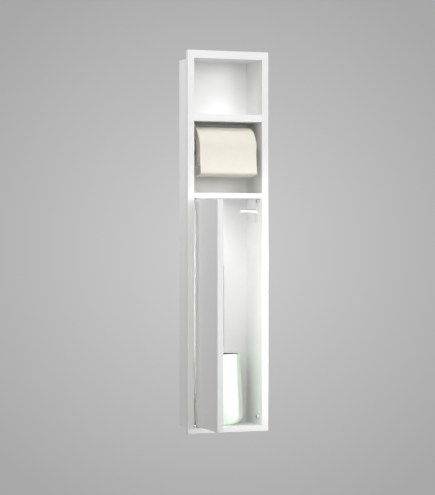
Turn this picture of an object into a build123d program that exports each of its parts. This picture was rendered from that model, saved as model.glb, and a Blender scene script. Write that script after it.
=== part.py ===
from build123d import *
import os
from math import acos, cos, degrees, hypot, pi, radians, sin

# Recessed toilet roll niche, in millimetres. X runs to the right, Y into the wall and Z up.
# The origin is on the face of the wall, at the middle of the frame's bottom edge.
# The door stands open, as it is seen, and every other piece is at rest.

# Frame on the wall
frame_w = 150.0
frame_h = 660.0
frame_t = 9.0
stile_w = 12.0
top_rail_h = 14.0
bottom_rail_h = 10.0
lip_w = 8.0
sheet = 1.2
edge_r = 0.6

# Box behind the frame, measured from the front of the frame
box_depth = 71.0
fold_r = 1.5
fixing_hole_r = 2.5
fixing_spacing_x = 70.0
fixing_spacing_z = 432.0
fixing_low_z = 60.0

# Open spaces and shelves, from the top down
top_space_h = 95.4
upper_shelf_t = 12.6
middle_shelf_t = 9.0

# Door and its gaps to the opening
door_t = 10.5
door_skin = 1.0
liner_t = 0.8
hinge_gap = 4.2
free_gap = 3.2
head_gap = 3.4
foot_gap = 2.6
door_open = 92.5
door_edge_r = 0.7

# Pivots of the door
pin_r = 1.0
pivot_inset = 2.6
pivot_depth = 3.0
running_gap = 0.05
pin_in_block = 13.0
pin_in_bush = 2.6
block_w = 16.0
block_h = 18.0
bush_wall = 0.6
bush_flange_r = 2.6
bush_flange_t = 1.0
bush_through = 2.0
washer_r = 2.6
washer_gap = 0.15
set_screw_r = 1.0
set_screw_depth = 0.5
hex_flats = 0.9
hex_depth = 1.0

# Door stops on the right wall
stop_r = 3.6
stop_l = 4.5
stop_gap = 0.4
stop_spigot_r = 1.5
stop_spigot_past = 1.5
stop_from_shelf = 4.2
stop_from_floor = 14.0
magnet_r = 3.1
magnet_t = 2.5

# Hook on the right wall
hook_plate_w = 11.0
hook_plate_h = 40.0
hook_plate_t = 2.0
hook_from_shelf = 23.2
hook_from_door = 8.2
hook_l = 30.0
hook_root_r = 5.5
hook_neck_r = 4.8
hook_tip_r = 4.5
hook_flare_l = 7.0
hook_flare_r = 26.0
hook_tip_round = 1.6
hook_screw_pitch = 27.0
screw_r = 1.4
screw_head_r = 2.6
screw_past = 4.0

# Toilet roll and the roller that carries it
roll_w = 105.0
roll_r = 35.0
roll_x = -1.0
core_r = 16.0
core_t = 1.2
roll_back_gap = 2.0
roll_head_gap = 9.5
roll_foot_gap = 44.0
roller_r = 12.0
roller_gap = 0.3
roller_wall = 1.2
roller_end_t = 1.6
roller_side_gap = 1.5
roller_pin_r = 4.0
roller_pin_gap = 0.1
tube_gap = 0.1
outer_tube_end = 12.0
inner_tube_end = -5.0
socket_l = 7.0
socket_floor = 2.0
socket_flange_r = 13.0
socket_flange_t = 2.0
socket_boss_r = 7.0
stud_r = 1.6
stud_head_r = 2.6
stud_head_t = 0.8
spring_r = 7.5
spring_wire = 0.9
spring_turns = 11

# Hanging end of the paper
paper_t = 0.4
paper_gap = 0.3
paper_back_angle = 60.0
paper_drop = 42.5
paper_flare = 4.2
paper_curl_r = 3.5
paper_curl = 84.0
paper_under_r = 120.0
paper_under = 9.0

# Brush and its oval pot
pot_h = 124.0
pot_half_w = 42.8
pot_mouth_half_w = 36.6
pot_side_gap = 0.9
pot_wall = 2.2
pot_base_r = 20.0
brush_top = 284.5
handle_r = 7.4
handle_low = 140.0
handle_neck_r = 4.6
spigot_r = 3.0
spigot_l = 14.0
head_r = 9.0
head_low = 14.0
head_h = 84.0
bristle_r = 21.5
bristle_low = 8.0
bristle_h = 74.0
bristle_round = 9.0

# Places that follow from the sizes above
half_open = frame_w / 2 - stile_w
open_w = 2 * half_open
skin_y = -frame_t + sheet
back_y = -frame_t + box_depth
floor_z = bottom_rail_h
ceiling_z = frame_h - top_rail_h
roll_bay_h = roll_foot_gap + 2 * roll_r + roll_head_gap
upper_shelf_z = ceiling_z - top_space_h - upper_shelf_t
middle_shelf_z = upper_shelf_z - roll_bay_h - middle_shelf_t

door_w = open_w - hinge_gap - free_gap
door_z = floor_z + foot_gap
door_top = middle_shelf_z - head_gap
door_h = door_top - door_z
pivot_x = -half_open + hinge_gap + pivot_inset
pivot_y = -frame_t + pivot_depth
bore_r = pin_r + running_gap
bush_barrel_r = bore_r + bush_wall

closed_inner_y = -frame_t + door_t
stop_y = closed_inner_y + stop_gap + stop_r
stop_heights = {
    "upper_door_stop": middle_shelf_z - stop_from_shelf,
    "lower_door_stop": floor_z + stop_from_floor,
}
hook_y = closed_inner_y + hook_from_door + hook_plate_w / 2
hook_z = middle_shelf_z - hook_from_shelf
hook_screw_heights = (hook_z - hook_screw_pitch / 2, hook_z + hook_screw_pitch / 2)

roll_y = back_y - roll_back_gap - roll_r
roll_z = upper_shelf_z - roll_head_gap - roll_r
roller_z = roll_z + core_r - roller_r - roller_gap
socket_x = half_open - socket_l
roller_end_x = socket_x - roller_side_gap
inner_tube_r = roller_r - roller_wall - tube_gap

pot_half_d = (back_y - closed_inner_y) / 2 - pot_side_gap
pot_y = (back_y + closed_inner_y) / 2

hinge_plane = Plane(origin=(pivot_x, pivot_y, 0))
turn = radians(door_open)
door_plane = Plane(origin=(pivot_x, pivot_y, 0), x_dir=(cos(turn), -sin(turn), 0), z_dir=(0, 0, 1))
roller_plane = Plane(origin=(0, roll_y, roller_z), x_dir=(1, 0, 0), z_dir=(0, -1, 0))
roller_axis = Axis((0, roll_y, roller_z), (1, 0, 0))
pot_plane = Plane(origin=(0, pot_y, floor_z))

pieces = {}


# Frame: four folded lengths with mitred ends, each with a front skin, an outer return and a lip
def mitre_point(side, height, share):
    """Point on a mitre, from the frame's outer corner (share 0) to the opening's corner (share 1)."""
    x = side * (frame_w / 2 - share * stile_w)
    z = frame_h - share * top_rail_h if height > 0 else share * bottom_rail_h
    return x, z


def mitred_strip(start, end, share):
    """Outline of a strip along the frame's outer edge, from its edge to a share of its width."""
    near, far = (start, end), (end, start)
    return [mitre_point(*corner, 0) for corner in near] + [mitre_point(*corner, share) for corner in far]


frame_lengths = {
    "frame_bottom_rail": ((-1, -1), (1, -1), bottom_rail_h),
    "frame_right_stile": ((1, -1), (1, 1), stile_w),
    "frame_top_rail": ((1, 1), (-1, 1), top_rail_h),
    "frame_left_stile": ((-1, 1), (-1, -1), stile_w),
}
for label, (start, end, width) in frame_lengths.items():
    with BuildPart() as frame_length:
        with BuildSketch(Plane.XZ):
            Polygon(*mitred_strip(start, end, sheet / width), align=None)
        extrude(amount=frame_t)
        with BuildSketch(Plane.XZ):
            Polygon(*mitred_strip(start, end, lip_w / width), align=None)
        extrude(amount=sheet)
        with BuildSketch(Plane.XZ.offset(frame_t - sheet)):
            Polygon(*mitred_strip(start, end, 1), align=None)
        extrude(amount=sheet)
        front_edges = frame_length.faces().sort_by(Axis.Y)[0].edges()
        fillet(front_edges.sort_by(SortBy.LENGTH)[-1], edge_r)
    pieces[label] = frame_length

# Box: one folded channel makes the back and both sides
with BuildPart() as body_channel:
    with BuildSketch(Plane.XY.offset(floor_z - sheet)) as channel_section:
        with Locations((0, (skin_y + back_y + sheet) / 2)):
            Rectangle(open_w + 2 * sheet, back_y + sheet - skin_y)
        fillet(channel_section.vertices().group_by(Axis.Y)[-1], fold_r)
        with Locations((0, (skin_y + back_y) / 2)):
            Rectangle(open_w, back_y - skin_y, mode=Mode.SUBTRACT)
    extrude(amount=ceiling_z - floor_z + 2 * sheet)
    with BuildSketch(Plane.XZ.offset(-back_y - sheet)):
        with Locations((0, fixing_low_z + fixing_spacing_z / 2)):
            with GridLocations(fixing_spacing_x, fixing_spacing_z, 2, 2):
                Circle(fixing_hole_r)
    extrude(amount=2 * sheet, mode=Mode.SUBTRACT)
    with BuildSketch(Plane.YZ.offset(half_open - sheet)):
        with Locations(*[(stop_y, z) for z in stop_heights.values()]):
            Circle(stop_spigot_r)
        with Locations(*[(hook_y, z) for z in hook_screw_heights]):
            Circle(screw_r)
    extrude(amount=3 * sheet, mode=Mode.SUBTRACT)
pieces["body_channel"] = body_channel

with BuildPart() as top_plate:
    with BuildSketch(Plane.XY.offset(ceiling_z)):
        with Locations((0, (skin_y + back_y) / 2)):
            Rectangle(open_w, back_y - skin_y)
    extrude(amount=sheet)
pieces["top_plate"] = top_plate

with BuildPart() as floor_plate:
    with BuildSketch(Plane.XY.offset(floor_z - sheet)):
        with Locations((0, (skin_y + back_y) / 2)):
            Rectangle(open_w, back_y - skin_y)
        with Locations((pivot_x, pivot_y)):
            Circle(bush_barrel_r, mode=Mode.SUBTRACT)
    extrude(amount=sheet)
pieces["floor_plate"] = floor_plate


# Shelves: sheets folded twice into a box that is open at the back wall
def folded_shelf(low_z, thickness):
    with BuildPart() as shelf:
        with BuildSketch(Plane.YZ.offset(-half_open)) as shelf_section:
            with Locations(((back_y - frame_t) / 2, low_z + thickness / 2)):
                Rectangle(box_depth, thickness)
            fillet(shelf_section.vertices().group_by(Axis.X)[0], edge_r)
            with Locations(((back_y + skin_y) / 2, low_z + thickness / 2)):
                Rectangle(back_y - skin_y, thickness - 2 * sheet, mode=Mode.SUBTRACT)
        extrude(amount=open_w)
    return shelf


pieces["upper_shelf"] = folded_shelf(upper_shelf_z, upper_shelf_t)
with BuildPart() as middle_shelf:
    add(folded_shelf(middle_shelf_z, middle_shelf_t).part)
    with BuildSketch(hinge_plane.offset(middle_shelf_z)):
        Circle(bush_barrel_r)
    extrude(amount=sheet, mode=Mode.SUBTRACT)
pieces["middle_shelf"] = middle_shelf


# Door pivots: flanged bushes in the box, pins in blocks inside the door
def flanged_bush(plate_z, way):
    """Bush with its flange on the cupboard side of a plate; way is 1 for upwards through it, -1 for down."""
    with BuildPart() as bush:
        with BuildSketch(hinge_plane.offset(plate_z)):
            Circle(bush_flange_r)
        extrude(amount=-way * bush_flange_t)
        with BuildSketch(hinge_plane.offset(plate_z)):
            Circle(bush_barrel_r)
        extrude(amount=way * (sheet + bush_through))
        with Locations((pivot_x, pivot_y, plate_z)):
            Hole(bore_r)
    return bush


pieces["upper_hinge_bush"] = flanged_bush(middle_shelf_z, 1)
pieces["lower_hinge_bush"] = flanged_bush(floor_z, -1)

washer_low = floor_z + bush_flange_t + washer_gap
with BuildPart() as thrust_washer:
    with BuildSketch(hinge_plane.offset(washer_low)):
        Circle(washer_r)
        Circle(bore_r, mode=Mode.SUBTRACT)
    extrude(amount=door_z - washer_low)
pieces["thrust_washer"] = thrust_washer

upper_pin_low = door_top - door_skin - pin_in_block
upper_pin_high = middle_shelf_z + pin_in_bush
lower_pin_low = floor_z - pin_in_bush
lower_pin_high = door_z + door_skin + pin_in_block
for label, low, high in (
    ("upper_hinge_pin", upper_pin_low, upper_pin_high),
    ("lower_hinge_pin", lower_pin_low, lower_pin_high),
):
    with BuildPart() as hinge_pin:
        with BuildSketch(hinge_plane.offset(low)):
            Circle(pin_r)
        extrude(amount=high - low)
        chamfer(hinge_pin.edges().filter_by(GeomType.CIRCLE), pin_r / 4)
    pieces[label] = hinge_pin

# Door: an outer tray folded on all four sides and a liner let into its back
# Its planes have x across the door from the pivot and y from the outer to the inner face.
door_left = -pivot_inset
door_front = -pivot_depth
door_back = door_front + door_t
liner_front = door_back - liner_t
block_heights = (door_z + door_skin, door_top - door_skin - block_h)
screw_heights = tuple(low + block_h / 2 for low in block_heights)


def door_face(height, depth):
    """Plane on the pivot's upright at a height and a depth into the door, facing the inner side."""
    across, inward = door_plane.x_dir, door_plane.y_dir
    foot = Vector(pivot_x, pivot_y, height) + inward * depth
    return Plane(origin=foot, x_dir=across, z_dir=inward)


with BuildPart() as door_tray:
    with BuildSketch(door_plane.offset(door_z)):
        with Locations((door_left + door_w / 2, door_front + door_t / 2)):
            Rectangle(door_w, door_t)
    extrude(amount=door_h)
    outer_side = Axis(door_plane.origin, door_plane.y_dir)
    fillet(door_tray.faces().sort_by(outer_side)[0].edges(), door_edge_r)
    with BuildSketch(door_plane.offset(door_z + door_skin)):
        with Locations((door_left + door_w / 2, door_front + door_t / 2 + door_skin)):
            Rectangle(door_w - 2 * door_skin, door_t)
    extrude(amount=door_h - 2 * door_skin, mode=Mode.SUBTRACT)
    with BuildSketch(door_plane.offset(door_z)):
        Circle(bore_r)
    extrude(amount=door_h, mode=Mode.SUBTRACT)
pieces["door_tray"] = door_tray

with BuildPart() as door_liner:
    with BuildSketch(door_plane.offset(door_z + door_skin)):
        with Locations((door_left + door_w / 2, liner_front + liner_t / 2)):
            Rectangle(door_w - 2 * door_skin, liner_t)
    extrude(amount=door_h - 2 * door_skin)
    for height in screw_heights:
        with BuildSketch(door_face(height, liner_front)):
            Circle(set_screw_r + running_gap)
        extrude(amount=liner_t, mode=Mode.SUBTRACT)
pieces["door_liner"] = door_liner

block_front = door_front + door_skin
block_d = liner_front - block_front
for label, low, height in zip(("lower_pivot_block", "upper_pivot_block"), block_heights, screw_heights):
    with BuildPart() as pivot_block:
        with BuildSketch(door_plane.offset(low)):
            with Locations((door_left + door_skin + block_w / 2, block_front + block_d / 2)):
                Rectangle(block_w, block_d)
            Circle(pin_r, mode=Mode.SUBTRACT)
        extrude(amount=block_h)
        with BuildSketch(door_face(height, 0)):
            Circle(set_screw_r)
        extrude(amount=liner_front, mode=Mode.SUBTRACT)
    pieces[label] = pivot_block

with BuildPart() as pin_set_screws:
    for height in screw_heights:
        with BuildSketch(door_face(height, pin_r)):
            Circle(set_screw_r)
        extrude(amount=door_back - set_screw_depth - pin_r)
        with BuildSketch(door_face(height, door_back - set_screw_depth)):
            RegularPolygon(hex_flats / 2, 6, major_radius=False)
        extrude(amount=-hex_depth, mode=Mode.SUBTRACT)
pieces["pin_set_screws"] = pin_set_screws

# Door stops: white buffers with a moulded spigot through the wall and a magnet in the free end
for label, height in stop_heights.items():
    with BuildPart() as door_stop:
        with BuildSketch(Plane.YZ.offset(half_open - stop_l)):
            with Locations((stop_y, height)):
                Circle(stop_r)
        extrude(amount=stop_l)
        with BuildSketch(Plane.YZ.offset(half_open)):
            with Locations((stop_y, height)):
                Circle(stop_spigot_r)
        extrude(amount=sheet + stop_spigot_past)
        with BuildSketch(Plane.YZ.offset(half_open - stop_l)):
            with Locations((stop_y, height)):
                Circle(magnet_r)
        extrude(amount=magnet_t, mode=Mode.SUBTRACT)
    pieces[label] = door_stop

with BuildPart() as stop_magnets:
    with BuildSketch(Plane.YZ.offset(half_open - stop_l)):
        with Locations(*[(stop_y, height) for height in stop_heights.values()]):
            Circle(magnet_r)
    extrude(amount=magnet_t)
pieces["stop_magnets"] = stop_magnets

# Hook: an obround plate held by two countersunk screws, and a peg that flares towards it
hook_face_x = half_open - hook_plate_t
countersink_t = screw_head_r - screw_r
with BuildPart() as hook_plate:
    with BuildSketch(Plane.YZ.offset(hook_face_x)):
        with Locations((hook_y, hook_z)):
            SlotOverall(hook_plate_h, hook_plate_w, rotation=90)
    extrude(amount=hook_plate_t)
    fillet(hook_plate.faces().sort_by(Axis.X)[0].edges(), edge_r)
    for height in hook_screw_heights:
        with Locations(Plane(origin=(hook_face_x, hook_y, height), z_dir=(-1, 0, 0))):
            CounterSinkHole(screw_r, screw_head_r, counter_sink_angle=90)
pieces["hook_plate"] = hook_plate

peg_plane = Plane(origin=(hook_face_x, hook_y, hook_z), x_dir=(-1, 0, 0), z_dir=(0, 1, 0))
with BuildPart() as hook_peg:
    with BuildSketch(peg_plane):
        with BuildLine():
            Line((0, 0), (0, hook_root_r))
            RadiusArc((0, hook_root_r), (hook_flare_l, hook_neck_r), -hook_flare_r)
            Line((hook_flare_l, hook_neck_r), (hook_l - hook_tip_round, hook_tip_r))
            ThreePointArc(
                (hook_l - hook_tip_round, hook_tip_r),
                (
                    hook_l - hook_tip_round * (1 - sin(pi / 4)),
                    hook_tip_r - hook_tip_round * (1 - cos(pi / 4)),
                ),
                (hook_l, hook_tip_r - hook_tip_round),
            )
            Line((hook_l, hook_tip_r - hook_tip_round), (hook_l, 0))
            Line((hook_l, 0), (0, 0))
        make_face()
    revolve(axis=Axis((hook_face_x, hook_y, hook_z), (-1, 0, 0)))
pieces["hook_peg"] = hook_peg

with BuildPart() as hook_screws:
    for height in hook_screw_heights:
        head_plane = Plane(origin=(hook_face_x, hook_y, height), z_dir=(1, 0, 0))
        with BuildSketch(head_plane):
            Circle(screw_head_r)
        with BuildSketch(head_plane.offset(countersink_t)):
            Circle(screw_r)
        loft()
        with BuildSketch(head_plane.offset(countersink_t)):
            Circle(screw_r)
        extrude(amount=hook_plate_t - countersink_t + sheet + screw_past)
pieces["hook_screws"] = hook_screws


# Sockets of the roller on both side walls, each held by a stud welded to the wall and riveted over
def wall_plane(side):
    """Plane on the inner face of a side wall at the roller's axis, facing into the bay."""
    return Plane(origin=(side * half_open, roll_y, roller_z), x_dir=(0, 1, 0), z_dir=(-side, 0, 0))


sides = {"left": -1, "right": 1}
for label, side in sides.items():
    with BuildPart() as roller_socket:
        with BuildSketch(wall_plane(side)):
            Circle(socket_flange_r)
        extrude(amount=socket_flange_t)
        with BuildSketch(wall_plane(side)):
            Circle(socket_boss_r)
        extrude(amount=socket_l)
        with BuildSketch(wall_plane(side).offset(socket_floor)):
            Circle(roller_pin_r + running_gap)
        extrude(amount=socket_l - socket_floor, mode=Mode.SUBTRACT)
        with BuildSketch(wall_plane(side)):
            Circle(stud_r)
        extrude(amount=socket_floor, mode=Mode.SUBTRACT)
    pieces[f"{label}_roller_socket"] = roller_socket

with BuildPart() as socket_studs:
    for side in sides.values():
        with BuildSketch(wall_plane(side)):
            Circle(stud_r)
        extrude(amount=socket_floor)
        with BuildSketch(wall_plane(side).offset(socket_floor)):
            Circle(stud_head_r)
        extrude(amount=stud_head_t)
pieces["socket_studs"] = socket_studs


# Roller: an outer and an inner tube that telescope on a spring, each with a pin on its closed end
def turned(outline):
    """Round solid on the roller's axis from an outline of (place along X, radius) points."""
    with BuildPart() as solid:
        with BuildSketch(roller_plane):
            with BuildLine():
                Polyline(*outline, close=True)
            make_face()
        revolve(axis=roller_axis)
    return solid


pin_end_x = half_open - socket_floor - stud_head_t - roller_pin_gap
spring_left_x = -roller_end_x + roller_end_t
spring_seat_x = inner_tube_end + roller_end_t
with BuildPart() as roller_outer_tube:
    add(
        turned(
            [
                (-pin_end_x, 0),
                (-pin_end_x, roller_pin_r),
                (-roller_end_x, roller_pin_r),
                (-roller_end_x, roller_r),
                (outer_tube_end, roller_r),
                (outer_tube_end, roller_r - roller_wall),
                (spring_left_x, roller_r - roller_wall),
                (spring_left_x, 0),
            ]
        ).part
    )
    chamfer(roller_outer_tube.edges().filter_by(GeomType.CIRCLE).group_by(Axis.X)[0], edge_r)
pieces["roller_outer_tube"] = roller_outer_tube

seat_hole_r = spring_r - 2 * spring_wire
with BuildPart() as roller_inner_tube:
    add(
        turned(
            [
                (pin_end_x, 0),
                (pin_end_x, roller_pin_r),
                (roller_end_x, roller_pin_r),
                (roller_end_x, inner_tube_r),
                (inner_tube_end, inner_tube_r),
                (inner_tube_end, seat_hole_r),
                (spring_seat_x, seat_hole_r),
                (spring_seat_x, inner_tube_r - roller_wall),
                (roller_end_x - roller_end_t, inner_tube_r - roller_wall),
                (roller_end_x - roller_end_t, 0),
            ]
        ).part
    )
    chamfer(roller_inner_tube.edges().filter_by(GeomType.CIRCLE).group_by(Axis.X)[-1], edge_r)
pieces["roller_inner_tube"] = roller_inner_tube

# The spring bears on the outer tube's closed end and on the inner tube's seat
coil_start_x = spring_left_x + spring_wire / 2 + running_gap
coil_l = inner_tube_end - spring_wire - 2 * running_gap - spring_left_x
with BuildPart() as roller_spring:
    with BuildLine() as coil:
        Helix(
            pitch=coil_l / spring_turns,
            height=coil_l,
            radius=spring_r,
            center=(coil_start_x, roll_y, roller_z),
            direction=(1, 0, 0),
        )
    with BuildSketch(Plane(origin=coil.line @ 0, z_dir=coil.line % 0)):
        Circle(spring_wire / 2)
    sweep()
pieces["roller_spring"] = roller_spring

# Toilet roll, hanging on the roller inside its core
roll_plane = Plane(origin=(roll_x - roll_w / 2, roll_y, roll_z), x_dir=(0, 1, 0), z_dir=(1, 0, 0))
with BuildPart() as roll_core:
    with BuildSketch(roll_plane):
        Circle(core_r + core_t)
        Circle(core_r, mode=Mode.SUBTRACT)
    extrude(amount=roll_w)
pieces["roll_core"] = roll_core

with BuildPart() as paper_roll:
    with BuildSketch(roll_plane):
        Circle(roll_r)
        Circle(core_r + core_t, mode=Mode.SUBTRACT)
    extrude(amount=roll_w)
pieces["paper_roll"] = paper_roll

# Hanging end of the paper: it lies over the top of the roll, drops in front and curls back under it
wrap_r = roll_r + paper_gap
wrap_start = radians(paper_back_angle)
flare_r = (paper_drop**2 + paper_flare**2) / (2 * paper_flare)
flare_turn = 2 * degrees(acos(paper_drop / hypot(paper_drop, paper_flare)))
with BuildPart() as hanging_sheet:
    with BuildSketch(roll_plane):
        with BuildLine() as sheet_line:
            over_top = JernArc(
                start=(wrap_r * cos(wrap_start), wrap_r * sin(wrap_start)),
                tangent=(-sin(wrap_start), cos(wrap_start)),
                radius=wrap_r,
                arc_size=180 - paper_back_angle,
            )
            drop = JernArc(over_top @ 1, over_top % 1, flare_r, -flare_turn)
            curl = JernArc(drop @ 1, drop % 1, paper_curl_r, paper_curl)
            JernArc(curl @ 1, curl % 1, paper_under_r, paper_under)
            offset(amount=paper_t, side=Side.RIGHT)
        make_face()
    extrude(amount=roll_w)
pieces["hanging_sheet"] = hanging_sheet


# Brush pot: turned as a round pot, then drawn in from front to back so that it fits behind the door
pot_squeeze = pot_half_d / pot_half_w
round_plane = Plane(origin=(0, pot_y / pot_squeeze, floor_z), x_dir=(1, 0, 0), z_dir=(0, -1, 0))
with BuildPart() as brush_pot:
    with BuildSketch(round_plane):
        with BuildLine():
            base = Line((0, 0), (pot_half_w - pot_base_r, 0))
            heel = JernArc(base @ 1, (1, 0), pot_base_r, 90)
            side = Line(heel @ 1, (pot_mouth_half_w, pot_h))
            rim = Line(side @ 1, (pot_mouth_half_w - pot_wall, pot_h))
            inside = Line(rim @ 1, (pot_half_w - pot_wall, pot_base_r))
            inner_heel = JernArc(inside @ 1, (0, -1), pot_base_r - pot_wall, -90)
            floor = Line(inner_heel @ 1, (0, pot_wall))
            Line(floor @ 1, base @ 0)
        make_face()
    revolve(axis=Axis(round_plane.origin, (0, 0, 1)))
    scale(by=(1, pot_squeeze, 1))
pieces["brush_pot"] = brush_pot

# Brush: handle with a spigot in the head, head core and the block of bristles round it
brush_axis = Axis((0, pot_y, 0), (0, 0, 1))
brush_plane = Plane(origin=(0, pot_y, floor_z), x_dir=(1, 0, 0), z_dir=(0, -1, 0))
head_top = head_low + head_h
with BuildPart() as brush_handle:
    with BuildSketch(brush_plane):
        with BuildLine():
            Polyline(
                (0, head_top - spigot_l),
                (spigot_r, head_top - spigot_l),
                (spigot_r, head_top),
                (handle_neck_r, head_top),
                (handle_r, handle_low),
                (handle_r, brush_top - handle_r),
            )
            RadiusArc((handle_r, brush_top - handle_r), (0, brush_top), -handle_r)
            Line((0, brush_top), (0, head_top - spigot_l))
        make_face()
    revolve(axis=brush_axis)
pieces["brush_handle"] = brush_handle

with BuildPart() as brush_head:
    with BuildSketch(pot_plane.offset(head_low)):
        Circle(head_r)
    extrude(amount=head_h)
    fillet(brush_head.faces().sort_by(Axis.Z)[0].edges(), head_r / 2)
    with BuildSketch(pot_plane.offset(head_top)):
        Circle(spigot_r)
    extrude(amount=-spigot_l, mode=Mode.SUBTRACT)
pieces["brush_head"] = brush_head

with BuildPart() as brush_bristles:
    with BuildSketch(pot_plane.offset(head_low + bristle_low)):
        Circle(bristle_r)
    extrude(amount=bristle_h)
    fillet(brush_bristles.edges(), bristle_round)
    with BuildSketch(pot_plane.offset(head_low)):
        Circle(head_r)
    extrude(amount=head_h, mode=Mode.SUBTRACT)
pieces["brush_bristles"] = brush_bristles

os.makedirs("parts", exist_ok=True)
for label, piece in pieces.items():
    piece.part.label = label
    export_step(piece.part, f"parts/{label}.step")
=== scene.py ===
import math
import random

import bpy
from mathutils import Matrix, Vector, noise


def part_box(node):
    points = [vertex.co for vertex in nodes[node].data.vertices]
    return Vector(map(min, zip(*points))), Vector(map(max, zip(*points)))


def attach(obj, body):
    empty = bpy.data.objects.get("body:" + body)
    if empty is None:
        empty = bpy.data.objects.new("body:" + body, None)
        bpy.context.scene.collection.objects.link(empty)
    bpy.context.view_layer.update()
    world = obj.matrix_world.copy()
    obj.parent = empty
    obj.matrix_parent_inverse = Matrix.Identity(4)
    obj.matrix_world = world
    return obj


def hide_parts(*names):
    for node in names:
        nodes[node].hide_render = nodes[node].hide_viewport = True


# Recessed toilet roll niche, in metres. X runs to the right, Y into the wall and Z up.
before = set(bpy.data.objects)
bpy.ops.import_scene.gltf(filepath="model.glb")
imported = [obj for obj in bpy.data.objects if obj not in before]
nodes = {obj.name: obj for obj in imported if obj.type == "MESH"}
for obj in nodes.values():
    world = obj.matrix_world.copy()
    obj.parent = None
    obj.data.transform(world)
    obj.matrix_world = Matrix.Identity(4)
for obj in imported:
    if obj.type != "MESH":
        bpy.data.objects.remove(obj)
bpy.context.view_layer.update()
scene = bpy.context.scene
MM = 0.001


def direction(turn, rise):
    """Unit vector away from the object: turn is to the right of straight in front, rise is above level."""
    return Vector((math.cos(rise) * math.sin(turn), -math.cos(rise) * math.cos(turn), math.sin(rise)))


def look_along(thing, way):
    """Turns a camera or a lamp so that it looks along way."""
    thing.rotation_mode = "QUATERNION"
    thing.rotation_quaternion = way.to_track_quat("-Z", "Y")


# Camera at the photograph's viewing angle
CAMERA_PLACE = Vector((-1.21416, -3.06825, 0.344235))
CAMERA_TURN, CAMERA_RISE = -0.3721, 0.0073
FOCAL_PX, LONG_SIDE_PX = 1902.46, 495
SENSOR = 36.0
NEAREST, FARTHEST = 0.05, 60.0

forward = -direction(CAMERA_TURN, CAMERA_RISE)
camera_data = bpy.data.cameras.new("camera")
camera_data.sensor_width = SENSOR
camera_data.lens = FOCAL_PX / LONG_SIDE_PX * SENSOR
camera_data.clip_start, camera_data.clip_end = NEAREST, FARTHEST
camera = bpy.data.objects.new("camera", camera_data)
camera.location = CAMERA_PLACE
look_along(camera, forward)
scene.collection.objects.link(camera)
scene.camera = camera
scene.view_settings.view_transform = "Standard"


# Nodes of the materials and the world
MIX_FACTOR, MIX_A, MIX_B, MIX_RESULT = 0, 6, 7, 2
BEVEL_SAMPLES = 4
NOISE_LOW, NOISE_HIGH = 0.3, 0.7
SMOOTHER, ROUGHER = 0.05, 0.06


def add_node(tree, kind, inputs=None, **settings):
    """A new node in tree; each of its inputs is a value, or a socket to link from."""
    made = tree.nodes.new(kind)
    for key, value in settings.items():
        setattr(made, key, value)
    for socket, value in (inputs or {}).items():
        if isinstance(value, bpy.types.NodeSocket):
            tree.links.new(value, made.inputs[socket])
        else:
            made.inputs[socket].default_value = value
    return made


def add_range(tree, value, low, high, out_low, out_high, shape):
    """Maps value from low..high to out_low..out_high."""
    limits = {"Value": value, "From Min": low, "From Max": high, "To Min": out_low, "To Max": out_high}
    return add_node(tree, "ShaderNodeMapRange", limits, interpolation_type=shape).outputs["Result"]


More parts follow.
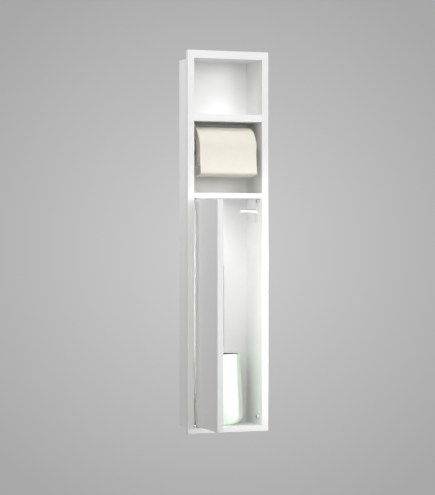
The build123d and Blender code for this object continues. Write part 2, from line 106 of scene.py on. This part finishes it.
class Shader:
    """A node material with one Principled shader, and short calls for the nodes that feed it."""

    def __init__(self, name, **values):
        self.material = bpy.data.materials.new(name)
        self.material.use_nodes = True
        self.tree = self.material.node_tree
        self.bsdf = self.tree.nodes["Principled BSDF"]
        self.coords = self.tree.nodes.new("ShaderNodeTexCoord").outputs["Object"]
        for socket, value in values.items():
            self.set(socket.replace("_", " "), value)

    def set(self, socket, value):
        self.bsdf.inputs[socket].default_value = value

    def feed(self, socket, value):
        self.tree.links.new(value, self.bsdf.inputs[socket])

    def node(self, kind, inputs=None, **settings):
        return add_node(self.tree, kind, inputs, **settings)

    def math(self, operation, a, b=0.0):
        return self.node("ShaderNodeMath", {0: a, 1: b}, operation=operation).outputs[0]

    def vector(self, operation, a, b=(0, 0, 0)):
        return self.node("ShaderNodeVectorMath", {0: a, 1: b}, operation=operation).outputs

    def part_of(self, vector, axis):
        return self.node("ShaderNodeSeparateXYZ", {0: vector}).outputs[axis]

    def facing(self):
        """The direction in which the surface faces."""
        return self.node("ShaderNodeNewGeometry").outputs["Normal"]

    def stretched(self, scale, centre=(0, 0, 0)):
        """Coordinates from centre, scaled; a small scale draws the grain out along that axis."""
        return self.vector("MULTIPLY", self.vector("SUBTRACT", self.coords, centre)[0], scale)[0]

    def noise(self, size, detail=2.0, rough=0.5, vector=None, distortion=0.0):
        """Noise between 0 and 1 whose lumps are about size metres across."""
        inputs = {
            "Vector": self.coords if vector is None else vector,
            "Scale": 1 / size,
            "Detail": detail,
            "Roughness": rough,
            "Distortion": distortion,
        }
        return self.node("ShaderNodeTexNoise", inputs).outputs["Fac"]

    def span(self, value, low, high, out_low, out_high, shape="SMOOTHSTEP"):
        return add_range(self.tree, value, low, high, out_low, out_high, shape)

    def two_tone(self, value, dark, light, low=NOISE_LOW, high=NOISE_HIGH):
        """Dark below low, light above high and a blend between them."""
        made = self.node("ShaderNodeValToRGB", {"Fac": value})
        for element, place, colour in zip(made.color_ramp.elements, (low, high), (dark, light)):
            element.position = place
            element.color = (*colour, 1)
        return made.outputs["Color"]

    def tinted(self, factor, colour, tint):
        """The colour, turned into tint where factor is 1."""
        inputs = {MIX_FACTOR: factor, MIX_A: colour, MIX_B: (*tint, 1)}
        return self.node("ShaderNodeMix", inputs, data_type="RGBA").outputs[MIX_RESULT]

    def patches(self, size, smoothest, roughest, detail=4.0, high=NOISE_HIGH):
        """Roughness that wanders between two values in patches of about size metres."""
        wander = self.noise(size, detail=detail)
        self.feed("Roughness", self.span(wander, NOISE_LOW, high, smoothest, roughest))

    def bump(self, *layers, edge=0.0):
        """Layers of (height value, depth in metres), finest first, over an edge softened by edge metres."""
        normal = None
        if edge:
            normal = self.node("ShaderNodeBevel", {"Radius": edge}, samples=BEVEL_SAMPLES).outputs["Normal"]
        for height, depth in layers:
            inputs = {"Height": height, "Strength": 1.0, "Distance": depth}
            if normal is not None:
                inputs["Normal"] = normal
            normal = self.node("ShaderNodeBump", inputs).outputs["Normal"]
        self.feed("Normal", normal)


# Powder coat
COAT_IOR = 1.48
COAT_TONE, COAT_PATCH = 90 * MM, 12 * MM
PEEL, PEEL_DEPTH, PEEL_ROUGH = 1.1 * MM, 0.035 * MM, 0.45
SHEET_WAVE, SHEET_WAVE_DEPTH = 50 * MM, 0.18 * MM
COAT_EDGE = 0.6 * MM


def coat(name, light, dark, rough=0.42):
    """Powder coat: fine orange peel, faint long waves of the sheet and a slightly uneven tone."""
    made = Shader(name, IOR=COAT_IOR)
    made.feed("Base Color", made.two_tone(made.noise(COAT_TONE, detail=3.0), dark, light))
    made.patches(COAT_PATCH, rough - SMOOTHER, rough + ROUGHER)
    peel = made.noise(PEEL, rough=PEEL_ROUGH)
    wave = made.noise(SHEET_WAVE, detail=1.0)
    made.bump((peel, PEEL_DEPTH), (wave, SHEET_WAVE_DEPTH), edge=COAT_EDGE)
    return made.material


# Moulded plastic
PLASTIC_IOR = 1.46
FLOW, FLOW_STRETCH, FLOW_SWIRL = 30 * MM, (1, 1, 0.35), 0.6
PLASTIC_PATCH = 6 * MM
SPARK, SPARK_DEPTH = 0.5 * MM, 0.02 * MM
SINK, SINK_DEPTH = 20 * MM, 0.06 * MM
GLOW_RADIUS, GLOW_SCALE = (0.004, 0.004, 0.003), 0.6


def plastic(name, light, dark, rough, edge):
    """Shader and colour of plastic with a spark-eroded texture, faint flow marks and an uneven tone."""
    made = Shader(name, IOR=PLASTIC_IOR)
    flow = made.noise(FLOW, vector=made.stretched(FLOW_STRETCH), distortion=FLOW_SWIRL)
    made.patches(PLASTIC_PATCH, rough - SMOOTHER, rough + ROUGHER, detail=3.0)
    made.bump((made.noise(SPARK), SPARK_DEPTH), (made.noise(SINK, detail=1.0), SINK_DEPTH), edge=edge)
    return made, made.two_tone(flow, dark, light)


def moulded(name, light, dark, rough, subsurface=0.0, edge=0.5 * MM):
    """Plastic in one colour; nylon lets some light in."""
    made, colour = plastic(name, light, dark, rough, edge)
    made.feed("Base Color", colour)
    if subsurface:
        made.set("Subsurface Weight", subsurface)
        made.set("Subsurface Radius", GLOW_RADIUS)
        made.set("Subsurface Scale", GLOW_SCALE)
    return made.material


# Pot: mint plastic, with painted shade on the inside
POT_ROUGH, POT_EDGE = 0.39, 0.6 * MM
POT_WALL = 2.2 * MM
POT_INWARDS = -4 * MM
POT_LEVEL = 0.9
POT_RIM = 0.4 * MM


def pot_plastic_painted_shade(name, light, dark, inner):
    """Mint plastic outside, and painted shade in dark grey on the inside, starting within the rim."""
    made, outside = plastic(name, light, dark, POT_ROUGH, POT_EDGE)
    low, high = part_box("brush_pot")
    facing = made.facing()
    from_axis = made.stretched((1, 1, 0), (low + high) / 2)
    outwards = made.vector("DOT_PRODUCT", facing, from_axis)["Value"]
    height = made.part_of(made.coords, "Z")
    faces_in = made.math("LESS_THAN", outwards, POT_INWARDS)
    faces_up = made.math("GREATER_THAN", made.part_of(facing, "Z"), POT_LEVEL)
    above_base = made.math("GREATER_THAN", height, low.z + POT_WALL / 2)
    below_rim = made.math("LESS_THAN", height, high.z - POT_RIM)
    in_reach = made.math("MULTIPLY", above_base, below_rim)
    # Painted shade: the inner walls and floor are coloured dark grey as the shade deep in the pot
    inside = made.math("MULTIPLY", made.math("MAXIMUM", faces_in, faces_up), in_reach)
    made.feed("Base Color", made.tinted(inside, outside, inner))
    return made.material


# Plated steel
CLOUD, CLOUD_ROUGH = 4 * MM, 0.6
PLATED_PATCH, PLATED_HIGH = 1.5 * MM, 0.75
PLATED_SMOOTHER, PLATED_ROUGHER = 0.06, 0.12
SCRATCH, SCRATCH_DEPTH, SCRATCH_STRETCH = 0.4 * MM, 0.008 * MM, (0.15, 1, 1)
PLATED_EDGE = 0.2 * MM


def plated(name, light, dark, rough):
    """Plated steel: clouded brightness and fine scratches."""
    made = Shader(name, Metallic=1.0)
    made.feed("Base Color", made.two_tone(made.noise(CLOUD, detail=4.0, rough=CLOUD_ROUGH), dark, light))
    made.patches(PLATED_PATCH, rough - PLATED_SMOOTHER, rough + PLATED_ROUGHER, high=PLATED_HIGH)
    scratch = made.noise(SCRATCH, detail=3.0, vector=made.stretched(SCRATCH_STRETCH))
    made.bump((scratch, SCRATCH_DEPTH), edge=PLATED_EDGE)
    return made.material


# Tissue paper
FIBRE, FIBRE_ROUGH, FIBRE_LOW = 2.2 * MM, 0.65, 0.25
STAIN, STAIN_LOW, STAIN_HIGH, STAIN_MOST, STAIN_TONE = 18 * MM, 0.35, 0.7, 0.35, 0.97
CREPE, CREPE_DEPTH, CREPE_STRETCH, CREPE_SWIRL = 0.7 * MM, 0.06 * MM, (0.22, 1, 1), 0.4
SOFT, SOFT_DEPTH = 9 * MM, 0.25 * MM
LAYER, LAYER_DEPTH, LAYER_SHADE_TONE = 0.75 * MM, 0.18 * MM, 0.8
LAYER_WANDER, LAYER_WANDER_DEPTH = 20 * MM, 0.8 * MM
END_ON_LOW, END_ON_HIGH = 0.6, 0.9


def wound_layers(made, centre):
    """1 on the edges of the layers that a roll's ends show, and 0 between them and on its side."""
    radius = made.vector("LENGTH", made.stretched((0, 1, 1), (0, centre.y, centre.z)))["Value"]
    wander = made.math("MULTIPLY", made.noise(LAYER_WANDER, detail=1.0), LAYER_WANDER_DEPTH)
    turns = made.math("MULTIPLY", made.math("ADD", radius, wander), 2 * math.pi / LAYER)
    layer = made.span(made.math("SINE", turns), -1.0, 1.0, 0.0, 1.0, shape="LINEAR")
    sideways = made.math("ABSOLUTE", made.part_of(made.facing(), "X"))
    return made.math("MULTIPLY", layer, made.span(sideways, END_ON_LOW, END_ON_HIGH, 0.0, 1.0))


def tissue(name, light, dark, roll_centre=None):
    """Tissue paper: soft fibres, a fine crepe across the sheet and, on a roll's ends, its layers in relief
    with painted shade along them.
    """
    made = Shader(name, Roughness=0.93, Sheen_Weight=0.12, Sheen_Roughness=0.6, Specular_IOR_Level=0.2)
    colour = made.two_tone(made.noise(FIBRE, detail=5.0, rough=FIBRE_ROUGH), dark, light, low=FIBRE_LOW)
    stain = made.span(made.noise(STAIN, detail=3.0), STAIN_LOW, STAIN_HIGH, 0.0, STAIN_MOST)
    colour = made.tinted(stain, colour, tuple(STAIN_TONE * c for c in dark))
    crepe = made.noise(CREPE, vector=made.stretched(CREPE_STRETCH), distortion=CREPE_SWIRL)
    grain = [(crepe, CREPE_DEPTH), (made.noise(SOFT), SOFT_DEPTH)]
    if roll_centre:
        layers = wound_layers(made, roll_centre)
        # Painted shade: the layer lines are also darkened in colour, as the shade between the layers
        colour = made.tinted(layers, colour, tuple(LAYER_SHADE_TONE * c for c in dark))
        grain.append((layers, LAYER_DEPTH))
    made.feed("Base Color", colour)
    made.bump(*grain)
    return made.material


# Board
SPECK, SPECK_ROUGH, SPECK_HIGH = 1.2 * MM, 0.7, 0.65
PULP, PULP_DEPTH = 0.8 * MM, 0.06 * MM
BOARD_WAVE, BOARD_WAVE_DEPTH = 10 * MM, 0.2 * MM


def core_board(name, light, dark):
    """Grey-brown board with specks of pulp."""
    made = Shader(name, Roughness=0.88, Specular_IOR_Level=0.25)
    speck = made.noise(SPECK, detail=5.0, rough=SPECK_ROUGH)
    made.feed("Base Color", made.two_tone(speck, dark, light, high=SPECK_HIGH))
    made.bump((made.noise(PULP, detail=4.0), PULP_DEPTH), (made.noise(BOARD_WAVE), BOARD_WAVE_DEPTH))
    return made.material


# Finishes, each with its light and its dark tone
roll_low, roll_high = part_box("paper_roll")
ROLL_CENTRE = (roll_low + roll_high) / 2
ROLL_R = (roll_high.z - roll_low.z) / 2
ROLL_W = roll_high.x - roll_low.x

# Frame, box and door share one white powder coat. The box's copy is set lighter as painted light for its
# shaded inside, and the door's is set below it as painted shade on its shaded outer face.
coat_box_painted_light = coat("coat_box_painted_light", (0.95, 0.95, 0.944), (0.94, 0.94, 0.933))
coat_frame = coat("coat_frame", (0.9, 0.9, 0.89), (0.87, 0.87, 0.862), rough=0.4)
coat_door_painted_shade = coat("coat_door_painted_shade", (0.91, 0.91, 0.903), (0.89, 0.89, 0.882), rough=0.44)
satin_metal = plated("satin_metal", (0.92, 0.92, 0.915), (0.88, 0.88, 0.875), 0.36)
plastic_white = moulded("plastic_white", (0.9, 0.9, 0.885), (0.87, 0.87, 0.85), 0.38)
plastic_nylon = moulded(
    "plastic_nylon", (0.84, 0.84, 0.8), (0.79, 0.79, 0.74), 0.45, subsurface=0.2, edge=0.3 * MM
)
# The pot's third colour is painted shade for its inside
plastic_mint = pot_plastic_painted_shade("plastic_mint", (0.8, 0.905, 0.785), (0.775, 0.885, 0.76), (0.09, 0.09, 0.08))
plastic_grey = moulded("plastic_grey", (0.52, 0.52, 0.515), (0.49, 0.49, 0.485), 0.34)
steel = plated("steel", (0.68, 0.69, 0.7), (0.55, 0.56, 0.57), 0.3)
magnet_plate = plated("magnet_plate", (0.52, 0.51, 0.49), (0.42, 0.41, 0.39), 0.3)
# The roll's paper is the sheet's tissue set a little lighter: painted light on the roll's shaded ends
tissue_roll_painted_light = tissue("tissue_roll_painted_light", (0.93, 0.89, 0.8), (0.89, 0.85, 0.75), ROLL_CENTRE)
tissue_sheet = tissue("tissue_sheet", (0.91, 0.875, 0.785), (0.875, 0.835, 0.735))
board = core_board("core_board", (0.45, 0.35, 0.25), (0.33, 0.25, 0.17))
bristle_white = moulded("bristle_white", (0.86, 0.88, 0.87), (0.8, 0.83, 0.82), 0.35, edge=0.0)

finishes = {
    coat_frame: ("frame_top_rail", "frame_bottom_rail", "frame_left_stile", "frame_right_stile"),
    coat_box_painted_light: ("body_channel", "top_plate", "floor_plate", "upper_shelf", "middle_shelf"),
    coat_door_painted_shade: ("door_tray", "door_liner"),
    satin_metal: ("hook_plate", "hook_peg", "hook_screws"),
    plastic_nylon: (
        "upper_hinge_bush",
        "lower_hinge_bush",
        "upper_pivot_block",
        "lower_pivot_block",
        "thrust_washer",
    ),
    plastic_white: (
        "upper_door_stop",
        "lower_door_stop",
        "left_roller_socket",
        "right_roller_socket",
        "roller_outer_tube",
        "roller_inner_tube",
        "brush_head",
    ),
    plastic_grey: ("brush_handle",),
    steel: ("socket_studs", "upper_hinge_pin", "lower_hinge_pin", "pin_set_screws", "roller_spring"),
    magnet_plate: ("stop_magnets",),
    board: ("roll_core",),
    plastic_mint: ("brush_pot",),
}
for material, names in finishes.items():
    for name in names:
        mesh = nodes[name].data
        mesh.materials.clear()
        mesh.materials.append(material)


def mesh_piece(name, points, faces, material, slot, body, replaced):
    """A smooth piece from points and faces, with its finish and body, in place of a CAD node. Its slot is not
    used.
    """
    mesh = bpy.data.meshes.new(name)
    mesh.from_pydata([tuple(p) for p in points], [], faces)
    mesh.validate()
    mesh.materials.append(material)
    mesh.polygons.foreach_set("use_smooth", [True] * len(mesh.polygons))
    piece = bpy.data.objects.new(name, mesh)
    scene.collection.objects.link(piece)
    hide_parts(replaced)
    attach(piece, body)
    return piece


# Wound paper: the outer layer is slightly slack, and the edges of the layers stand unevenly on the ends
ROLL_STEPS = 180
END_RINGS, SIDE_RINGS = 26, 34
core_low, core_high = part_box("roll_core")
BORE_R = (core_high.z - core_low.z) / 2 + 0.02 * MM
SLACK = 0.3 * MM
SLACK_ROUND, SLACK_ALONG, SLACK_SHIFT = 1.4, 22, 3
CORNER, CORNER_DEPTH = 1.2 * MM, 0.5 * MM
LAYER_PLAY = 0.35 * MM
PLAY_MIDDLE, PLAY_FINE, PLAY_COARSE = 0.5, 0.3, 0.25
FINE_WAVES, FINE_SHIFT = 900, 7
COARSE_ROUND, COARSE_WAVES, COARSE_SHIFT = 1.2, 160, 20


def ring_profile():
    """Outline of the wound paper as (x, radius, kind), from the bore's left end to its right end."""
    half, depth = ROLL_W / 2, ROLL_R - BORE_R
    left = [(-half, BORE_R + depth * k / END_RINGS, "end") for k in range(END_RINGS)]
    side = [(-half + ROLL_W * k / SIDE_RINGS, ROLL_R, "side") for k in range(SIDE_RINGS + 1)]
    right = [(half, radius, kind) for _, radius, kind in reversed(left)]
    return left + side + right


def slack_radius(x, around):
    """Radius of the outer layer at x, with its corners rounded off at both ends."""
    along = x * SLACK_ALONG + SLACK_SHIFT
    wobble = noise.noise(Vector((around.x * SLACK_ROUND, around.y * SLACK_ROUND, along)))
    near_end = max(0.0, 1 - (ROLL_W / 2 - abs(x)) / CORNER)
    return ROLL_R - SLACK * (0.5 + 0.5 * wobble) - near_end**2 * CORNER_DEPTH


def layer_inset(x, radius, around):
    """How far the layer at radius stands back from the roll's end at x."""
    if radius <= BORE_R:
        return LAYER_PLAY * PLAY_MIDDLE
    fine = noise.noise(Vector((radius * FINE_WAVES, math.copysign(FINE_SHIFT, x), 0)))
    shift = radius * COARSE_WAVES + math.copysign(COARSE_SHIFT, x)
    coarse = noise.noise(Vector((around.x * COARSE_ROUND, around.y * COARSE_ROUND, shift)))
    return max(0.0, LAYER_PLAY * (PLAY_MIDDLE + PLAY_FINE * fine + PLAY_COARSE * coarse))


def wound_paper():
    """Points and faces of the roll, a closed ring of the outline's points at each step round it."""
    outline = ring_profile()
    points, faces = [], []
    for x, radius, kind in outline:
        for step in range(ROLL_STEPS):
            angle = 2 * math.pi * step / ROLL_STEPS
            around = Vector((math.cos(angle), math.sin(angle), 0))
            if kind == "side":
                place, reach = x, slack_radius(x, around)
            else:
                place, reach = x - math.copysign(layer_inset(x, radius, around), x), radius
            points.append(ROLL_CENTRE + Vector((place, reach * around.x, reach * around.y)))
    for ring in range(len(outline)):
        here, after = ring * ROLL_STEPS, (ring + 1) % len(outline) * ROLL_STEPS
        for step in range(ROLL_STEPS):
            beside = (step + 1) % ROLL_STEPS
            faces.append((here + step, here + beside, after + beside, after + step))
    return points, faces


mesh_piece("wound_paper", *wound_paper(), tissue_roll_painted_light, "paper", "roll", "paper_roll")


# Hanging sheet: it lies on the roll, drops in front and turns back underneath at its torn edge
PAPER_GAP = 0.3 * MM
PAPER_T = 0.4 * MM
SHEET_BACK_ANGLE = math.radians(60)
DROP, FLARE = 42.5 * MM, 4.2 * MM
CURL_R, CURL = 3.5 * MM, math.radians(84)
UNDER_R, UNDER = 120 * MM, math.radians(9)
ACROSS = 96
RIPPLE, RIPPLE_ACROSS, RIPPLE_ALONG, RIPPLE_SHIFT, RIPPLE_GROWTH = 0.9 * MM, 26, 9, 4, 1.5
TOOTH, TOOTH_STEPS = 0.35 * MM, 3
WRAP_R = ROLL_R + PAPER_GAP
FLARE_R = (DROP**2 + FLARE**2) / (2 * FLARE)
FLARE_TURN = 2 * math.atan2(FLARE, DROP)
ON_ROLL_L = (WRAP_R + PAPER_T / 2) * (math.pi - SHEET_BACK_ANGLE)
SHEET_ARCS = (
    (WRAP_R, math.pi - SHEET_BACK_ANGLE, 46),
    (-FLARE_R, -FLARE_TURN, 34),
    (CURL_R, CURL, 18),
    (UNDER_R, UNDER, 12),
)


def sheet_line():
    """Middle line of the sheet as (y, z, outward y, outward z, length so far), seen from the roll's centre.

    Each arc is the sheet's inner face: a positive radius turns to the left of the way along it."""
    c, s = math.cos(SHEET_BACK_ANGLE), math.sin(SHEET_BACK_ANGLE)
    y, z, heading = (WRAP_R + PAPER_T / 2) * c, (WRAP_R + PAPER_T / 2) * s, SHEET_BACK_ANGLE + math.pi / 2
    length = 0.0
    line = [(y, z, c, s, 0.0)]
    for inner_r, turn, steps in SHEET_ARCS:
        radius = inner_r + PAPER_T / 2
        step = turn / steps
        for _ in range(steps):
            chord = 2 * radius * math.sin(step / 2)
            y += chord * math.cos(heading + step / 2)
            z += chord * math.sin(heading + step / 2)
            heading += step
            length += radius * step
            line.append((y, z, math.sin(heading), -math.cos(heading), length))
    return line


def sheet_points(line):
    """Points of the sheet's outer face, then of its inner face, in rows from edge to edge."""
    points = []
    for side in (1, -1):
        for row, (y, z, out_y, out_z, length) in enumerate(line):
            free = max(0.0, (length - ON_ROLL_L) / (line[-1][4] - ON_ROLL_L))
            torn = row == len(line) - 1
            for k in range(ACROSS + 1):
                x = -ROLL_W / 2 + ROLL_W * k / ACROSS
                waves = noise.noise(Vector((x * RIPPLE_ACROSS, length * RIPPLE_ALONG, RIPPLE_SHIFT)))
                push = side * PAPER_T / 2 + waves * RIPPLE * free**RIPPLE_GROWTH
                tooth = TOOTH * math.sin(2 * math.pi * k / TOOTH_STEPS) if torn else 0.0
                place = Vector((x, y + out_y * push - out_z * tooth, z + out_z * push + out_y * tooth))
                points.append(ROLL_CENTRE + place)
    return points


def sheet_faces(rows):
    """Faces of both sides of the sheet and of its four edges."""
    width = ACROSS + 1
    per_side = rows * width
    faces = []

    def quad(a, b, c, d, flip):
        faces.append((d, c, b, a) if flip else (a, b, c, d))

    for inner in (False, True):
        for row in range(rows - 1):
            for k in range(ACROSS):
                a = inner * per_side + row * width + k
                quad(a, a + 1, a + 1 + width, a + width, inner)
    for row in range(rows - 1):
        for k, flip in ((0, False), (ACROSS, True)):
            a = row * width + k
            quad(a, a + width, a + width + per_side, a + per_side, flip)
    for k in range(ACROSS):
        for row, flip in ((0, True), (rows - 1, False)):
            a = row * width + k
            quad(a, a + 1, a + 1 + per_side, a + per_side, flip)
    return faces


line = sheet_line()
loose_sheet = mesh_piece(
    "loose_sheet", sheet_points(line), sheet_faces(len(line)), tissue_sheet, "paper", "niche", "hanging_sheet"
)


# Brush: rows of bristle tufts all round the head, shorter towards both of its ends
SEED = 11
random.seed(SEED)
bristle_low, bristle_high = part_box("brush_bristles")
head_low, head_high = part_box("brush_head")
BRUSH_CENTRE = (bristle_low + bristle_high) / 2
BRISTLE_R = (bristle_high.x - bristle_low.x) / 2
BRISTLE_ROOT = (head_high.x - head_low.x) / 2 - 1.2 * MM
STRAND_R, STRAND_SIDES = 0.22 * MM, 4
STRAND_RINGS = ((0.0, 1.0), (0.55, 1.0), (1.0, 0.75))
TUFT_ROWS, TUFTS_ROUND, STRANDS = 14, 15, 9
SHORTER_FROM = 9 * MM
TIP_ROOM, END_ROOM = 0.2 * MM, 0.4 * MM
TURN_SPREAD, FAN_SPREAD, SAG_SPREAD = 0.045, 1.0, 0.15
ROOT_SPREAD, TIP_SPREAD = 0.5, 0.8


def strand(points, faces, root, tip, sag):
    """Adds a four-sided bristle from its root to its tip, bent by sag at its tip."""
    start = len(points)
    along = (tip - root).normalized()
    side = along.orthogonal().normalized()
    other = along.cross(side)
    for share, thickness in STRAND_RINGS:
        middle = root.lerp(tip, share) + sag * share * share
        for k in range(STRAND_SIDES):
            angle = 2 * math.pi * k / STRAND_SIDES
            points.append(middle + (side * math.cos(angle) + other * math.sin(angle)) * STRAND_R * thickness)
    last = start + (len(STRAND_RINGS) - 1) * STRAND_SIDES
    for ring in range(start, last, STRAND_SIDES):
        for k in range(STRAND_SIDES):
            a, b = ring + k, ring + (k + 1) % STRAND_SIDES
            faces.append((a, b, b + STRAND_SIDES, a + STRAND_SIDES))
    faces.append(tuple(start + k for k in reversed(range(STRAND_SIDES))))
    faces.append(tuple(last + k for k in range(STRAND_SIDES)))


def all_bristles():
    """Points and faces of every bristle."""
    points, faces = [], []
    for row in range(TUFT_ROWS):
        height = bristle_low.z + (bristle_high.z - bristle_low.z) * (row + 0.5) / TUFT_ROWS
        from_end = min(height - bristle_low.z, bristle_high.z - height)
        reach = BRISTLE_R - TIP_ROOM - max(0.0, SHORTER_FROM - from_end) ** 2 / (2 * SHORTER_FROM)
        centre = Vector((BRUSH_CENTRE.x, BRUSH_CENTRE.y, height))
        for k in range(TUFTS_ROUND):
            angle = 2 * math.pi * (k + 0.5 * (row % 2)) / TUFTS_ROUND
            foot = centre + Vector((math.cos(angle), math.sin(angle), 0)) * BRISTLE_ROOT
            for _ in range(STRANDS):
                turn = angle + random.gauss(0, TURN_SPREAD)
                fan = random.gauss(0, FAN_SPREAD) * MM
                root = foot + Vector((0, 0, random.uniform(-ROOT_SPREAD, ROOT_SPREAD) * MM))
                out = Vector((math.cos(turn), math.sin(turn), 0))
                tip = centre + out * (reach - random.uniform(0, TIP_SPREAD) * MM)
                tip.z = min(max(height + fan, bristle_low.z + END_ROOM), bristle_high.z - END_ROOM)
                strand(points, faces, root, tip, Vector((0, 0, random.gauss(0, SAG_SPREAD) * MM)))
    return points, faces


mesh_piece("bristles", *all_bristles(), bristle_white, "bristle", "brush", "brush_bristles")


# Floor: a pale disc that fades out towards its rim
FLOOR_Z = -0.4
FLOOR_R, FLOOR_SIDES = 1.7, 64
FLOOR_DARK, FLOOR_LIGHT, FLOOR_TONE = (0.6, 0.6, 0.6), (0.62, 0.62, 0.62), 0.3
FADE_START, FADE_END = 0.35 * FLOOR_R, 0.98 * FLOOR_R


def floor_corner(k):
    angle = 2 * math.pi * k / FLOOR_SIDES
    return FLOOR_R * math.cos(angle), FLOOR_R * math.sin(angle), FLOOR_Z


floor_mesh = bpy.data.meshes.new("studio_floor")
floor_mesh.from_pydata([floor_corner(k) for k in range(FLOOR_SIDES)], [], [tuple(range(FLOOR_SIDES))])
floor = bpy.data.objects.new("studio_floor", floor_mesh)
scene.collection.objects.link(floor)
pale = Shader("pale_floor", Roughness=0.9)
pale.feed("Base Color", pale.two_tone(pale.noise(FLOOR_TONE), FLOOR_DARK, FLOOR_LIGHT))
from_middle = pale.vector("LENGTH", pale.stretched((1, 1, 0)))["Value"]
pale.feed("Alpha", pale.span(from_middle, FADE_START, FADE_END, 1.0, 0.0))
floor_mesh.materials.append(pale.material)


# Backdrop: a pale pool of light behind the object; ambient light comes more from above than from below
POOL_LIGHT, POOL_EDGE, POOL_SPREAD = 0.615, 0.395, 0.158
AMBIENT_ABOVE, AMBIENT_BELOW = 0.27, 0.23
WHITE = (1, 1, 1, 1)
world = bpy.data.worlds.new("studio")
scene.world = world
world.use_nodes = True
tree = world.node_tree
tree.nodes.clear()


def background(value, low, high, out_low, out_high):
    """White light whose strength follows value."""
    strength = add_range(tree, value, low, high, out_low, out_high, "LINEAR")
    return add_node(tree, "ShaderNodeBackground", {"Color": WHITE, "Strength": strength}).outputs[0]


def either(a, b):
    return add_node(tree, "ShaderNodeMath", {0: a, 1: b}, operation="MAXIMUM").outputs[0]


rays = add_node(tree, "ShaderNodeLightPath").outputs
seen = either(either(rays["Is Camera Ray"], rays["Is Transmission Ray"]), rays["Is Glossy Ray"])
way = add_node(tree, "ShaderNodeTexCoord").outputs["Generated"]
across = add_node(tree, "ShaderNodeVectorMath", {0: way, 1: forward}, operation="CROSS_PRODUCT").outputs[0]
from_pool = add_node(tree, "ShaderNodeVectorMath", {0: across}, operation="LENGTH").outputs["Value"]
upwards = add_node(tree, "ShaderNodeSeparateXYZ", {0: way}).outputs["Z"]
ambient = background(upwards, -1, 1, AMBIENT_BELOW, AMBIENT_ABOVE)
backdrop = background(from_pool, 0, POOL_SPREAD, POOL_LIGHT, POOL_EDGE)
shown = add_node(tree, "ShaderNodeMixShader", {0: seen, 1: ambient, 2: backdrop}).outputs[0]
add_node(tree, "ShaderNodeOutputWorld", {"Surface": shown})


# Lamps
def area_lamp(name, turn, rise, distance, size, watts, aim, spread):
    """A lamp that faces the height aim on the object, from turn degrees to the right and rise degrees up."""
    way = direction(math.radians(turn), math.radians(rise))
    lamp = bpy.data.lights.new(name, "AREA")
    lamp.shape = "RECTANGLE"
    lamp.size, lamp.size_y = size
    lamp.energy = watts
    lamp.spread = math.radians(spread)
    held = bpy.data.objects.new(name, lamp)
    held.location = Vector((0, 0, aim)) + way * distance
    look_along(held, -way)
    held.visible_camera = False
    scene.collection.objects.link(held)


area_lamp("key", turn=0, rise=8, distance=2.6, size=(1.4, 1.4), watts=2.6, aim=0.6, spread=90)
area_lamp("key_right", turn=25, rise=10, distance=2.6, size=(0.9, 1.2), watts=3.4, aim=0.55, spread=90)
area_lamp("fill", turn=5, rise=35, distance=2.6, size=(1.6, 1.2), watts=3.0, aim=0.6, spread=90)
area_lamp("left", turn=-35, rise=10, distance=1.6, size=(0.6, 0.8), watts=1.2, aim=0.5, spread=110)
area_lamp("left_high", turn=-40, rise=45, distance=2.2, size=(0.8, 0.8), watts=3.7, aim=0.5, spread=110)
area_lamp("side_left", turn=-125, rise=17, distance=0.85, size=(0.4, 0.6), watts=1.0, aim=0.5, spread=110)
area_lamp("side_right", turn=92, rise=5, distance=2.0, size=(0.7, 1.2), watts=3.4, aim=0.42, spread=90)
area_lamp("door_light", turn=66, rise=4, distance=0.75, size=(0.1, 0.34), watts=0.36, aim=0.21, spread=24)
